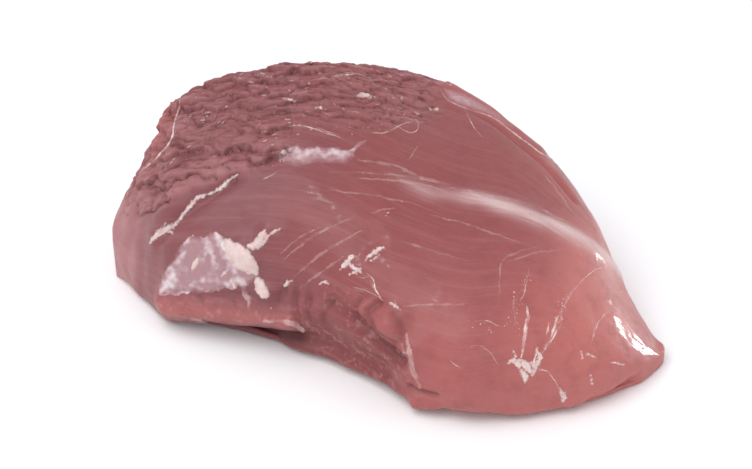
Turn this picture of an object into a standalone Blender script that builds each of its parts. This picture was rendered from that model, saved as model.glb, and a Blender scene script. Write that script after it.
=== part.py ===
"""A thick wedge of raw boneless lamb, lying on its flat underside.

The joint is one solid. Its body is a loft of slices across the length, from the blunt left end to the
tip at the right. On that body lie the forms that show: the torn, coarse-grained cut at the top left,
the seam between two muscles, the lip under the film of silverskin, the rolled brow over the waist,
the ridge of silverskin, the layered strip at the back and the lumps of fat.

Units are millimetres up to the last step. +X runs to the tip, -Y to the front and +Z up.
"""

import math

import bmesh
import bpy
import numpy as np
from mathutils import Vector, noise

MM = 0.001

# The ends of the length
LEFT_END = (-88, 12, 14)
TIP = (88, -33, 4.5)

# The plan: how far the front and the back reach, at each place along the length
FRONT_EDGE = [(-88, 12), (-82, 2.5), (-75, -7), (-68, -17.5), (-58, -22), (-42, -27), (-26, -33), (-10, -44),
              (2, -54), (11, -59), (22, -65), (38, -64.5), (57, -60), (69, -55), (79, -47), (85, -39),
              (88, -33)]
BACK_EDGE = [(-88, 12), (-82, 33), (-75, 44), (-68, 52), (-58, 58), (-42, 62), (-26, 63.5), (6, 63.5),
             (22, 63), (38, 59), (52, 47), (62, 31), (69, 16), (76, -6), (82, -22), (88, -33)]

# The crest: where the highest line runs, and its height
CREST_DEPTH = [(-88, 12), (-82, 23), (-68, 37), (-58, 40), (-26, 39), (22, 41), (32, 29), (42, 15), (57, 5),
               (69, -11), (77, -23), (88, -33)]
CREST_HEIGHT = [(-88, 14), (-82, 28.5), (-75, 39.5), (-68, 49.5), (-58, 54.5), (-42, 59), (-26, 61),
                (-10, 59), (6, 55), (22, 50.5), (38, 46), (57, 37), (69, 26.5), (78, 14.5), (84, 7.5),
                (88, 4.5)]
BELLY_HEIGHT = [(-88, 14), (-75, 9), (-42, 8), (6, 9), (57, 7), (79, 5.5), (88, 4.5)]

# How square each quarter of a slice is: 2 is an ellipse
FRONT_SQUARENESS = 2.5
BACK_SQUARENESS = 2.6
FOOT_SQUARENESS = 5.0
SAG_BELOW_BOARD = 1.2  # pressed flat where the joint lies on the board

# The fineness of the modelled surface, and what is kept of it
SLICES = 220
POINTS_ROUND_SLICE = 240
KEPT_TRIANGLES = 11400

# The torn cut: its front edge in plan, and the heights over which it dies out
TORN_EDGE = [(-88, 9), (-80, 6), (-73, -1), (-66, -6), (-58, -4), (-44, -5), (-26, -4), (-13, 4), (0, 13),
             (12, 20), (20, 30), (24, 60)]
TORN_LOW, TORN_HIGH = 22, 32
TORN_RIGHT = (10, 26)

# Where each kind of torn grain gives way to the next, along the length and from front to back
PLATES_END = (-62, -50)
SCALES_END = (-32, -24)
CRAGS_START, CRAGS_END = (10, 20), (-24, -12)
CRUMBS_START = (4, 26)

# Flakes of torn grain: (size along, across and up), depth, and how far they lean up to the right
PLATES = ((22, 9, 4.4), 1.5, 0.20)
SCALES = ((12, 8, 5.4), 1.5, 0.12)
CRAGS = ((7.0, 6.0, 4.8), 1.2, 0.0)
CRUMBS = ((15, 4.2, 3.4), 0.5, 0.10)
FREE_EDGE = Vector((-0.15, -0.75, -0.65))  # the way in which a flake stands off the one below it
FLAKE_BENDS = ((11, 0.55), (3.5, 0.22))  # how ragged a flake's outline is: (size, share of a flake)
FLAKE_RAMP, FLAKE_STEP = 1.2, 0.7  # how a flake rises to its free edge, and how flakes differ in height
CRACK_DEPTH, CRACK_SHARPNESS, SIDE_CRACK = 0.9, 12.0, 0.25  # a crack is shallow between flakes side by side
FLAKES_SUNK = 0.35  # the torn grain as a whole lies this much lower than the smooth meat

# Lines on the surface: (points, height, width). A height below zero is a groove
MUSCLE_SEAM = ([(-45, -5, 50), (-52, -8, 46), (-59, -10, 42), (-65, -12, 37), (-72, -10, 29)], -1.9, 2.0)
SEAM_BANK = ([(-50, 0, 50), (-60, -3, 44), (-67, -7, 38), (-74, -5, 31)], 1.4, 4.0)
FILM_CREASE = ([(-70, -17, 14), (-60, -22, 17), (-50, -25, 18), (-41, -27, 20)], -1.2, 1.6)
FILM_LIP = ([(-70, -17, 9), (-60, -22, 11), (-48, -26, 12), (-36, -30, 14), (-27, -33, 15)], 3.0, 4.4)
LIP_UNDERCUT = ([(-62, -17, 3), (-54, -20, 3.5), (-45, -23, 3.5), (-34, -28, 4.5)], -3.4, 3.6)
WAIST = ([(-17, -39, 9), (-10, -44, 9), (-2, -51, 9)], -4.2, 8.0)
BROW_CREASE = ([(-15, -40, 27), (-10, -43, 25), (-5, -47, 22), (0, -51, 20), (5, -56, 18)], -3.4, 2.6)
WAIST_FOLD = ([(-30, -31, 21), (-24, -33, 17), (-22, -34, 9)], -1.8, 2.6)
WAIST_ROLL = ([(-34, -29, 22), (-27, -32, 19), (-19, -36, 20)], 1.2, 3.0)
RIGHT_UNDERCUT = ([(20, -59, 3), (25, -61, 2), (31, -60, 3)], -3.8, 5.5)
SILVER_RIDGE = ([(2, -8, 55), (16, -13, 51), (30, -12, 48), (49, -16, 41), (65, -16, 32), (76, -12, 19)],
                1.2, 4.5)
BACK_CREASE = ([(20, 43, 53), (29, 37, 50), (38, 31, 46), (48, 22, 42), (56, 13, 38), (62, 6, 34)],
               -1.8, 1.5)
BACK_STRIP = ([(23, 49, 50), (33, 44, 46), (42, 36, 42), (50, 28, 38)], 1.5, 3.6)
SHOULDER_CREASE = ([(-68, 42, 50), (-70, 30, 49), (-71, 21, 47), (-75, 16, 42), (-80, 10, 35)], -2.6, 1.8)
SHOULDER_FLAP = ([(-71, 41, 47), (-73, 32, 46), (-75, 25, 43)], 1.8, 4.0)
TIP_FOLD = ([(64, -58, 2), (71, -54, 2), (77, -49, 3)], -2.4, 2.6)
END_SEAM = ([(-80, 30, 34), (-84, 24, 24), (-86, 16, 12)], -1.4, 2.4)
HIDDEN_SEAM = ([(-66, 52, 34), (-40, 61, 30), (-10, 64, 24), (20, 64, 20), (42, 55, 18)], -2.2, 2.4)
HIDDEN_BANK = ([(-60, 56, 22), (-30, 62, 18), (0, 63, 13), (30, 60, 11)], 1.0, 6.0)
LINES = [MUSCLE_SEAM, SEAM_BANK, FILM_CREASE, FILM_LIP, LIP_UNDERCUT, WAIST, BROW_CREASE, WAIST_FOLD,
         WAIST_ROLL, RIGHT_UNDERCUT, SILVER_RIDGE, BACK_CREASE, BACK_STRIP, SHOULDER_CREASE, SHOULDER_FLAP,
         TIP_FOLD, END_SEAM, HIDDEN_SEAM, HIDDEN_BANK]

# Lumps and hollows: (centre, height, radius)
BROW_LOBES = [((-5, -46.5, 30), 2.8, 3.2), ((1.5, -52, 28), 4.0, 5.0), ((8, -58, 23), 2.4, 4.0)]
BOARD_NUB = [((10, -60, 2), 3.4, 3.4), ((15, -63, 2), 2.8, 3.0)]
FAT_LUMPS = [((-40, -25, 32), 2.2, 3.2), ((-43, -22, 35), 1.9, 3.6), ((-36, -21, 40), 1.5, 2.6),
             ((-36, -29, 23), 3.0, 2.4), ((-9, -37, 38), 1.0, 2.4), ((-2, -33, 41), 0.9, 2.6),
             ((44, -60, 19), 1.4, 2.4), ((56, -59, 5), 1.4, 2.0)]
HOLLOWS = [((-4, -31, 44), -1.8, 5.5), ((-22, -31, 28), -1.4, 5.0), ((12, -40, 42), -0.8, 12.0),
           ((34, 8, 47), -0.9, 9.0)]
LUMPS = BROW_LOBES + BOARD_NUB + FAT_LUMPS + HOLLOWS

# Slow unevenness over the whole joint: (size, height)
SWELLS = [(21, 1.1), (9, 0.22)]
FLUTE_WIDTH, FLUTE_HEIGHT = 1.7, 0.2  # upright soft folds on the left end

MEAT_COLOUR = (0.42, 0.135, 0.13, 1.0)


def remove_start_objects():
    for item in list(bpy.data.objects):
        bpy.data.objects.remove(item)


def rounded_share(x):
    """Share of the length at x, opened out at both ends so that slices shrink there as a round end does."""
    share = (np.asarray(x, float) - LEFT_END[0]) / (TIP[0] - LEFT_END[0])
    return np.arccos(1 - 2 * np.clip(share, 0, 1)) / math.pi


def profile_at(profile, share):
    """A profile's value at a share of the length, on a smooth curve through its points."""
    knots = rounded_share([x for x, _ in profile])
    values = np.array([value for _, value in profile], float)
    slopes = np.gradient(values, knots)
    i = int(np.clip(np.searchsorted(knots, share, side="right") - 1, 0, len(knots) - 2))
    gap = knots[i + 1] - knots[i]
    t = (share - knots[i]) / gap
    ends = (2 * t**3 - 3 * t**2 + 1) * values[i] + (3 * t**2 - 2 * t**3) * values[i + 1]
    return ends + gap * ((t**3 - 2 * t**2 + t) * slopes[i] + (t**3 - t**2) * slopes[i + 1])


def slice_outline(share):
    """A slice's (y, z) points: the front half from under the joint up to the crest, then the back half."""
    front, back = profile_at(FRONT_EDGE, share), profile_at(BACK_EDGE, share)
    crest_y, crest_z = profile_at(CREST_DEPTH, share), profile_at(CREST_HEIGHT, share)
    belly = profile_at(BELLY_HEIGHT, share)
    turn = np.linspace(0, math.pi / 2, 100)
    cos, sin = np.cos(turn), np.sin(turn)
    foot = belly - (belly + SAG_BELOW_BOARD) * cos ** (2 / FOOT_SQUARENESS)
    halves = []
    for edge, squareness in ((front, FRONT_SQUARENESS), (back, BACK_SQUARENESS)):
        lower = np.stack([crest_y + (edge - crest_y) * sin ** (2 / FOOT_SQUARENESS), foot], 1)
        upper = np.stack([crest_y + (edge - crest_y) * cos ** (2 / squareness),
                          belly + (crest_z - belly) * sin ** (2 / squareness)], 1)
        halves.append(np.vstack([lower, upper[1:]]))
    return halves[0], halves[1][::-1]


def evenly_spaced(line, count):
    steps = np.r_[0, np.cumsum(np.linalg.norm(np.diff(line, axis=0), axis=1))]
    wanted = np.linspace(0, steps[-1], count, endpoint=False)
    return np.stack([np.interp(wanted, steps, line[:, axis]) for axis in (0, 1)], 1)


def body_points():
    """The body's points in a grid: one row for each slice, and the first and last rows are the two ends."""
    rows = [np.tile(LEFT_END, (POINTS_ROUND_SLICE, 1))]
    for k in range(1, SLICES):
        share = k / SLICES
        x = LEFT_END[0] + (TIP[0] - LEFT_END[0]) * (1 - math.cos(math.pi * share)) / 2
        ring = np.vstack([evenly_spaced(half, POINTS_ROUND_SLICE // 2) for half in slice_outline(share)])
        rows.append(np.column_stack([np.full(len(ring), x), ring]))
    rows.append(np.tile(TIP, (POINTS_ROUND_SLICE, 1)))
    return np.array(rows, float)


def smooth_step(low, high, values):
    t = np.clip((values - low) / (high - low), 0, 1)
    return t * t * (3 - 2 * t)


def waves(points, size):
    """Smooth noise from -1 to 1, with swells about as wide as size."""
    return np.array([noise.noise(Vector(point) / size) for point in points])


def distance_to_line(points, line):
    nearest = np.full(len(points), np.inf)
    for start, end in zip(np.array(line[:-1], float), np.array(line[1:], float)):
        run = end - start
        share = np.clip((points - start) @ run / (run @ run), 0, 1)
        nearest = np.minimum(nearest, np.linalg.norm(points - start - share[:, None] * run, axis=1))
    return nearest


def flakes(points, strength, size, depth, lean):
    """Flakes of torn grain, laid like shingles: each has its own height and a lower edge that stands off."""
    height = np.zeros(len(points))
    for i in np.nonzero(strength > 0.01)[0]:
        x, y, z = points[i]
        place = Vector((x / size[0], (y + lean * x) / size[1], (z - lean * x) / size[2]))
        for bend, share in FLAKE_BENDS:
            place += share * noise.noise_vector(Vector(points[i]) / bend)
        distances, centres = noise.voronoi(place)
        above = abs((centres[1] - centres[0]).normalized().dot(FREE_EDGE))
        crack = CRACK_DEPTH * math.exp(-CRACK_SHARPNESS * (distances[1] - distances[0]))
        crack *= SIDE_CRACK + (1 - SIDE_CRACK) * above
        standing = (place - centres[0]).dot(FREE_EDGE)
        step = FLAKE_STEP * noise.noise(centres[0] * 3.7)
        height[i] = depth * strength[i] * (max(-1.0, min(1.0, FLAKE_RAMP * standing)) + step - crack)
    return height


def torn_relief(points):
    """The torn cut: long plates at the left, then scales, crags along the top, and crumbs that die out."""
    x, y, z = points.T
    inside = smooth_step(-1.5, 2, y - np.interp(x, *np.array(TORN_EDGE, float).T))
    inside *= 1 - smooth_step(*TORN_RIGHT, x)
    inside *= smooth_step(TORN_LOW, TORN_HIGH, z)
    inside *= 0.55 + 0.45 * smooth_step(-84, -70, x)
    plates = inside * (1 - smooth_step(*PLATES_END, x))
    crags = (inside - plates) * smooth_step(*CRAGS_START, y) * (1 - smooth_step(*CRAGS_END, x))
    rest = inside - plates - crags
    scales = rest * (1 - smooth_step(*SCALES_END, x))
    crumbs = (rest - scales) * (0.1 + 0.9 * smooth_step(*CRUMBS_START, y))
    height = -FLAKES_SUNK * (plates + crags + scales)
    for strength, kind in ((plates, PLATES), (scales, SCALES), (crags, CRAGS), (crumbs, CRUMBS)):
        height += flakes(points, strength, *kind)
    return height


def relief(points):
    """How far each point of the body stands out, in millimetres."""
    height = torn_relief(points)
    for line, rise, width in LINES:
        height += rise * np.exp(-(distance_to_line(points, line) / width) ** 2)
    for centre, rise, radius in LUMPS:
        height += rise * np.exp(-(np.linalg.norm(points - np.array(centre), axis=1) / radius) ** 2)
    for size, rise in SWELLS:
        height += rise * waves(points, size)
    x, y, z = points.T
    on_left_end = smooth_step(-62, -74, x) * smooth_step(38, 28, z) * smooth_step(2, 8, z)
    height += FLUTE_HEIGHT * on_left_end * np.sin((y - 0.6 * x) / FLUTE_WIDTH + 2.5 * waves(points, 14))
    return height


def mesh_from_sphere():
    """A sphere with its poles at the two ends. Its points move onto the body, then out by the relief."""
    grid = body_points()
    mesh = bmesh.new()
    bmesh.ops.create_uvsphere(mesh, u_segments=POINTS_ROUND_SLICE, v_segments=SLICES, radius=1.0)
    for vertex in mesh.verts:
        row = round(math.acos(max(-1.0, min(1.0, vertex.co.z))) / math.pi * SLICES)
        turn = math.atan2(vertex.co.y, vertex.co.x) / (2 * math.pi)
        vertex.co = grid[row, round(turn * POINTS_ROUND_SLICE) % POINTS_ROUND_SLICE]
    mesh.normal_update()
    bmesh.ops.recalc_face_normals(mesh, faces=mesh.faces)
    mesh.normal_update()
    points = np.array([vertex.co for vertex in mesh.verts])
    outward = np.array([vertex.normal for vertex in mesh.verts])
    moved = points + outward * relief(points)[:, None]
    moved[:, 2] = np.maximum(moved[:, 2], 0)
    for vertex, place in zip(mesh.verts, moved):
        vertex.co = place
    return mesh


def meat_material():
    material = bpy.data.materials.new("raw_lamb")
    material.use_nodes = True
    shader = material.node_tree.nodes["Principled BSDF"]
    shader.inputs["Base Color"].default_value = MEAT_COLOUR
    shader.inputs["Roughness"].default_value = 0.42
    shader.inputs["Metallic"].default_value = 0.0
    material.diffuse_color = MEAT_COLOUR
    return material


def thinned(item):
    """Fewer triangles, close together only where the surface bends, and the underside flat again."""
    thin = item.modifiers.new("thin", "DECIMATE")
    thin.ratio = KEPT_TRIANGLES / sum(len(face.vertices) - 2 for face in item.data.polygons)
    thin.use_collapse_triangulate = True
    bpy.context.view_layer.update()
    evaluated = item.evaluated_get(bpy.context.evaluated_depsgraph_get())
    mesh = bpy.data.meshes.new_from_object(evaluated)
    item.modifiers.clear()
    item.data = mesh
    for vertex in mesh.vertices:
        if vertex.co.z < 0.05 * MM:
            vertex.co.z = 0


def build_meat(collection):
    shape = mesh_from_sphere()
    bmesh.ops.scale(shape, vec=(MM, MM, MM), verts=shape.verts)
    data = bpy.data.meshes.new("meat")
    shape.to_mesh(data)
    shape.free()
    meat = bpy.data.objects.new("meat", data)
    collection.objects.link(meat)
    thinned(meat)
    meat.data.materials.append(meat_material())
    meat.data.shade_smooth()
    return meat


def main():
    remove_start_objects()
    collection = bpy.data.collections.new("lamb_joint")
    bpy.context.scene.collection.children.link(collection)
    build_meat(collection)


main()
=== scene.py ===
"""Looks of a raw wedge of boneless lamb, laid out as an add-on.

The flesh is one fine mesh that stands for the solid of the frame: the same body and relief, drawn
closer together, with torn fibres and wrinkles on top. Silverskin, fat, sinew, threads and crumbs are
pieces of their own that lie on it. The stage is a pale floor with soft light.
"""

import math
import random

import bmesh
import bpy
import numpy as np
from bpy.props import FloatProperty, FloatVectorProperty, IntProperty, PointerProperty, StringProperty
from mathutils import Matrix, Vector, noise
from mathutils.bvhtree import BVHTree


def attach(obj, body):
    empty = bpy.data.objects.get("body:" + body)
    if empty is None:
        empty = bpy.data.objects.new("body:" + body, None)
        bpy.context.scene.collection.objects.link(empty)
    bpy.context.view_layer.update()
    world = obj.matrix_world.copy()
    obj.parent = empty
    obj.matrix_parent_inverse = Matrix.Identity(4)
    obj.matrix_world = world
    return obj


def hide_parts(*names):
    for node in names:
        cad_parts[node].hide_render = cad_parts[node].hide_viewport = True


bl_info = {
    "name": "Raw lamb",
    "version": (1, 0, 0),
    "blender": (4, 5, 0),
    "location": "3D View > Sidebar > Lamb",
    "description": "A raw wedge of lamb with silverskin, fat and sinew",
    "category": "Object",
}

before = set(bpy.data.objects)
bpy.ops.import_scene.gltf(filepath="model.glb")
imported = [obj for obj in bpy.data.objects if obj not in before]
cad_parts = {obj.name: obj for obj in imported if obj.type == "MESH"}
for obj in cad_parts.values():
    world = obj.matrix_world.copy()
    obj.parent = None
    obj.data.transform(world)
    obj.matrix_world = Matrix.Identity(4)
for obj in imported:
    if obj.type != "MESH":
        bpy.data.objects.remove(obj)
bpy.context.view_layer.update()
BODY, SLOT, CAD_NODE = "root", "raw_lamb", "meat"
MM = 0.001

# The photograph's frame, and the pixel that the camera's axis goes through
PHOTO_WIDTH, PHOTO_HEIGHT = 752, 469
AXIS_COLUMN, AXIS_ROW = 388, 228
SENSOR_WIDTH = 36.0

# The body and its relief, as in the frame's source, in millimetres
LEFT_END = (-88, 12, 14)
TIP = (88, -33, 4.5)

# The plan: how far the front and the back reach, at each place along the length
FRONT_EDGE = [(-88, 12), (-82, 2.5), (-75, -7), (-68, -17.5), (-58, -22), (-42, -27), (-26, -33), (-10, -44),
              (2, -54), (11, -59), (22, -65), (38, -64.5), (57, -60), (69, -55), (79, -47), (85, -39),
              (88, -33)]
BACK_EDGE = [(-88, 12), (-82, 33), (-75, 44), (-68, 52), (-58, 58), (-42, 62), (-26, 63.5), (6, 63.5),
             (22, 63), (38, 59), (52, 47), (62, 31), (69, 16), (76, -6), (82, -22), (88, -33)]

# The crest: where the highest line runs, and its height
CREST_DEPTH = [(-88, 12), (-82, 23), (-68, 37), (-58, 40), (-26, 39), (22, 41), (32, 29), (42, 15), (57, 5),
               (69, -11), (77, -23), (88, -33)]
CREST_HEIGHT = [(-88, 14), (-82, 28.5), (-75, 39.5), (-68, 49.5), (-58, 54.5), (-42, 59), (-26, 61),
                (-10, 59), (6, 55), (22, 50.5), (38, 46), (57, 37), (69, 26.5), (78, 14.5), (84, 7.5),
                (88, 4.5)]
BELLY_HEIGHT = [(-88, 14), (-75, 9), (-42, 8), (6, 9), (57, 7), (79, 5.5), (88, 4.5)]

# How square each quarter of a slice is: 2 is an ellipse
FRONT_SQUARENESS = 2.5
BACK_SQUARENESS = 2.6
FOOT_SQUARENESS = 5.0
SAG_BELOW_BOARD = 1.2  # pressed flat where the joint lies on the board

# The fineness of the modelled surface, and what is kept of it
SLICES = 220
POINTS_ROUND_SLICE = 240
KEPT_TRIANGLES = 11400

# The torn cut: its front edge in plan, and the heights over which it dies out
TORN_EDGE = [(-88, 9), (-80, 6), (-73, -1), (-66, -6), (-58, -4), (-44, -5), (-26, -4), (-13, 4), (0, 13),
             (12, 20), (20, 30), (24, 60)]
TORN_LOW, TORN_HIGH = 22, 32
TORN_RIGHT = (10, 26)

# Where each kind of torn grain gives way to the next, along the length and from front to back
PLATES_END = (-62, -50)
SCALES_END = (-32, -24)
CRAGS_START, CRAGS_END = (10, 20), (-24, -12)
CRUMBS_START = (4, 26)

# Flakes of torn grain: (size along, across and up), depth, and how far they lean up to the right
PLATES = ((22, 9, 4.4), 1.5, 0.20)
SCALES = ((12, 8, 5.4), 1.5, 0.12)
CRAGS = ((7.0, 6.0, 4.8), 1.2, 0.0)
CRUMBS = ((15, 4.2, 3.4), 0.5, 0.10)
FREE_EDGE = Vector((-0.15, -0.75, -0.65))  # the way in which a flake stands off the one below it
FLAKE_BENDS = ((11, 0.55), (3.5, 0.22))  # how ragged a flake's outline is: (size, share of a flake)
FLAKE_RAMP, FLAKE_STEP = 1.2, 0.7  # how a flake rises to its free edge, and how flakes differ in height
CRACK_DEPTH, CRACK_SHARPNESS, SIDE_CRACK = 0.9, 12.0, 0.25  # a crack is shallow between flakes side by side
FLAKES_SUNK = 0.35  # the torn grain as a whole lies this much lower than the smooth meat

# Lines on the surface: (points, height, width). A height below zero is a groove
MUSCLE_SEAM = ([(-45, -5, 50), (-52, -8, 46), (-59, -10, 42), (-65, -12, 37), (-72, -10, 29)], -1.9, 2.0)
SEAM_BANK = ([(-50, 0, 50), (-60, -3, 44), (-67, -7, 38), (-74, -5, 31)], 1.4, 4.0)
FILM_CREASE = ([(-70, -17, 14), (-60, -22, 17), (-50, -25, 18), (-41, -27, 20)], -1.2, 1.6)
FILM_LIP = ([(-70, -17, 9), (-60, -22, 11), (-48, -26, 12), (-36, -30, 14), (-27, -33, 15)], 3.0, 4.4)
LIP_UNDERCUT = ([(-62, -17, 3), (-54, -20, 3.5), (-45, -23, 3.5), (-34, -28, 4.5)], -3.4, 3.6)
WAIST = ([(-17, -39, 9), (-10, -44, 9), (-2, -51, 9)], -4.2, 8.0)
BROW_CREASE = ([(-15, -40, 27), (-10, -43, 25), (-5, -47, 22), (0, -51, 20), (5, -56, 18)], -3.4, 2.6)
WAIST_FOLD = ([(-30, -31, 21), (-24, -33, 17), (-22, -34, 9)], -1.8, 2.6)
WAIST_ROLL = ([(-34, -29, 22), (-27, -32, 19), (-19, -36, 20)], 1.2, 3.0)
RIGHT_UNDERCUT = ([(20, -59, 3), (25, -61, 2), (31, -60, 3)], -3.8, 5.5)
SILVER_RIDGE = ([(2, -8, 55), (16, -13, 51), (30, -12, 48), (49, -16, 41), (65, -16, 32), (76, -12, 19)],
                1.2, 4.5)
BACK_CREASE = ([(20, 43, 53), (29, 37, 50), (38, 31, 46), (48, 22, 42), (56, 13, 38), (62, 6, 34)],
               -1.8, 1.5)
BACK_STRIP = ([(23, 49, 50), (33, 44, 46), (42, 36, 42), (50, 28, 38)], 1.5, 3.6)
SHOULDER_CREASE = ([(-68, 42, 50), (-70, 30, 49), (-71, 21, 47), (-75, 16, 42), (-80, 10, 35)], -2.6, 1.8)
SHOULDER_FLAP = ([(-71, 41, 47), (-73, 32, 46), (-75, 25, 43)], 1.8, 4.0)
TIP_FOLD = ([(64, -58, 2), (71, -54, 2), (77, -49, 3)], -2.4, 2.6)
END_SEAM = ([(-80, 30, 34), (-84, 24, 24), (-86, 16, 12)], -1.4, 2.4)
HIDDEN_SEAM = ([(-66, 52, 34), (-40, 61, 30), (-10, 64, 24), (20, 64, 20), (42, 55, 18)], -2.2, 2.4)
HIDDEN_BANK = ([(-60, 56, 22), (-30, 62, 18), (0, 63, 13), (30, 60, 11)], 1.0, 6.0)
LINES = [MUSCLE_SEAM, SEAM_BANK, FILM_CREASE, FILM_LIP, LIP_UNDERCUT, WAIST, BROW_CREASE, WAIST_FOLD,
         WAIST_ROLL, RIGHT_UNDERCUT, SILVER_RIDGE, BACK_CREASE, BACK_STRIP, SHOULDER_CREASE, SHOULDER_FLAP,
         TIP_FOLD, END_SEAM, HIDDEN_SEAM, HIDDEN_BANK]

# Lumps and hollows: (centre, height, radius)
BROW_LOBES = [((-5, -46.5, 30), 2.8, 3.2), ((1.5, -52, 28), 4.0, 5.0), ((8, -58, 23), 2.4, 4.0)]
BOARD_NUB = [((10, -60, 2), 3.4, 3.4), ((15, -63, 2), 2.8, 3.0)]
FAT_LUMPS = [((-40, -25, 32), 2.2, 3.2), ((-43, -22, 35), 1.9, 3.6), ((-36, -21, 40), 1.5, 2.6),
             ((-36, -29, 23), 3.0, 2.4), ((-9, -37, 38), 1.0, 2.4), ((-2, -33, 41), 0.9, 2.6),
             ((44, -60, 19), 1.4, 2.4), ((56, -59, 5), 1.4, 2.0)]
HOLLOWS = [((-4, -31, 44), -1.8, 5.5), ((-22, -31, 28), -1.4, 5.0), ((12, -40, 42), -0.8, 12.0),
           ((34, 8, 47), -0.9, 9.0)]
LUMPS = BROW_LOBES + BOARD_NUB + FAT_LUMPS + HOLLOWS

# Slow unevenness over the whole joint: (size, height)
SWELLS = [(21, 1.1), (9, 0.22)]
FLUTE_WIDTH, FLUTE_HEIGHT = 1.7, 0.2  # upright soft folds on the left end

# How close together the surface's points lie, next to the front
UNDERSIDE_CLOSENESS, BACK_CLOSENESS = 0.22, 0.7


# Small tools

def linear(hex_colour):
    """An sRGB hex colour as the linear RGBA that shaders take."""
    parts = [int(hex_colour[i:i + 2], 16) / 255 for i in (1, 3, 5)]
    return tuple(p / 12.92 if p <= 0.04045 else ((p + 0.055) / 1.055) ** 2.4 for p in parts) + (1.0,)


def add_node(tree, kind, inputs=None, **settings):
    """A node with its settings; inputs gives each socket a value or the output it is linked to."""
    node = tree.nodes.new(kind)
    for name, value in settings.items():
        setattr(node, name, value)
    for name, value in (inputs or {}).items():
        if isinstance(value, bpy.types.NodeSocket):
            tree.links.new(value, node.inputs[name])
        else:
            node.inputs[name].default_value = value
    return node


def smooth_step(low, high, values):
    t = np.clip((values - low) / (high - low), 0, 1)
    return t * t * (3 - 2 * t)


def waves(points, size):
    """Smooth noise from -1 to 1, with swells about as wide as size."""
    return np.array([noise.noise(Vector(point) / size) for point in points])


def distance_to_line(points, line):
    nearest = np.full(len(points), np.inf)
    line = np.array(line, float)
    for start, end in zip(line[:-1], line[1:]):
        run = end - start
        share = np.clip((points - start) @ run / (run @ run), 0, 1)
        nearest = np.minimum(nearest, np.linalg.norm(points - start - share[:, None] * run, axis=1))
    return nearest


def piece(name, mesh, material, clear=False):
    """A finished mesh as a named piece on the body, smooth, in metres. A clear one darkens nothing below it."""
    data = bpy.data.meshes.new(name)
    bmesh.ops.scale(mesh, vec=(MM, MM, MM), verts=mesh.verts)
    mesh.to_mesh(data)
    mesh.free()
    data.materials.append(material)
    data.shade_smooth()
    item = bpy.data.objects.new(name, data)
    bpy.context.scene.collection.objects.link(item)
    item.visible_shadow = item.visible_diffuse = not clear
    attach(item, BODY)
    return item


# The body

def rounded_share(x):
    """Share of the length at x, opened out at both ends so that a slice shrinks there as a round end does."""
    share = (np.asarray(x, float) - LEFT_END[0]) / (TIP[0] - LEFT_END[0])
    return np.arccos(1 - 2 * np.clip(share, 0, 1)) / math.pi


def profile_at(profile, share):
    """A profile's value at a share of the length, on a smooth curve through its points."""
    knots = rounded_share([x for x, _ in profile])
    values = np.array([value for _, value in profile], float)
    slopes = np.gradient(values, knots)
    i = int(np.clip(np.searchsorted(knots, share, side="right") - 1, 0, len(knots) - 2))
    gap = knots[i + 1] - knots[i]
    t = (share - knots[i]) / gap
    ends = (2 * t**3 - 3 * t**2 + 1) * values[i] + (3 * t**2 - 2 * t**3) * values[i + 1]
    return ends + gap * ((t**3 - 2 * t**2 + t) * slopes[i] + (t**3 - t**2) * slopes[i + 1])


def slice_outline(share):
    """A slice's (y, z) points, from under the joint up the front to the crest, and down the back again."""
    front, back = profile_at(FRONT_EDGE, share), profile_at(BACK_EDGE, share)
    crest_y, crest_z = profile_at(CREST_DEPTH, share), profile_at(CREST_HEIGHT, share)
    belly = profile_at(BELLY_HEIGHT, share)
    turn = np.linspace(0, math.pi / 2, 100)
    cos, sin = np.cos(turn), np.sin(turn)
    foot = belly - (belly + SAG_BELOW_BOARD) * cos ** (2 / FOOT_SQUARENESS)
    halves = []
    for edge, squareness in ((front, FRONT_SQUARENESS), (back, BACK_SQUARENESS)):
        lower = np.stack([crest_y + (edge - crest_y) * sin ** (2 / FOOT_SQUARENESS), foot], 1)
        upper = np.stack([crest_y + (edge - crest_y) * cos ** (2 / squareness),
                          belly + (crest_z - belly) * sin ** (2 / squareness)], 1)
        halves.append(np.vstack([lower, upper[1:]]))
    return np.vstack([halves[0], halves[1][-2::-1]])


def spaced_points(ring, count):
    """Points round a slice, closest where the photograph looks and far apart on the flat underside."""
    middle = (ring[1:] + ring[:-1]) / 2
    closeness = np.where(middle[:, 1] < 1.5, UNDERSIDE_CLOSENESS, 1.0)
    behind = np.arange(len(middle)) > len(middle) * 0.55
    closeness = np.where(behind & (middle[:, 1] > 1.5), BACK_CLOSENESS, closeness)
    steps = np.r_[0, np.cumsum(np.linalg.norm(np.diff(ring, axis=0), axis=1) * closeness)]
    wanted = np.linspace(0, steps[-1], count, endpoint=False)
    return np.stack([np.interp(wanted, steps, ring[:, axis]) for axis in (0, 1)], 1)


def body_points(slices, points_round):
    """The body's points in a grid: one row for each slice, and the first and last rows are the two ends."""
    rows = [np.tile(LEFT_END, (points_round, 1))]
    evenly = np.linspace(0, 1, slices + 1)
    rounded = (1 - np.cos(math.pi * evenly)) / 2
    places = 0.35 * rounded + 0.65 * evenly
    for place in places[1:-1]:
        x = LEFT_END[0] + (TIP[0] - LEFT_END[0]) * place
        ring = spaced_points(slice_outline(float(rounded_share(x))), points_round)
        rows.append(np.column_stack([np.full(len(ring), x), ring]))
    rows.append(np.tile(TIP, (points_round, 1)))
    return np.array(rows, float)


# The relief

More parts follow.
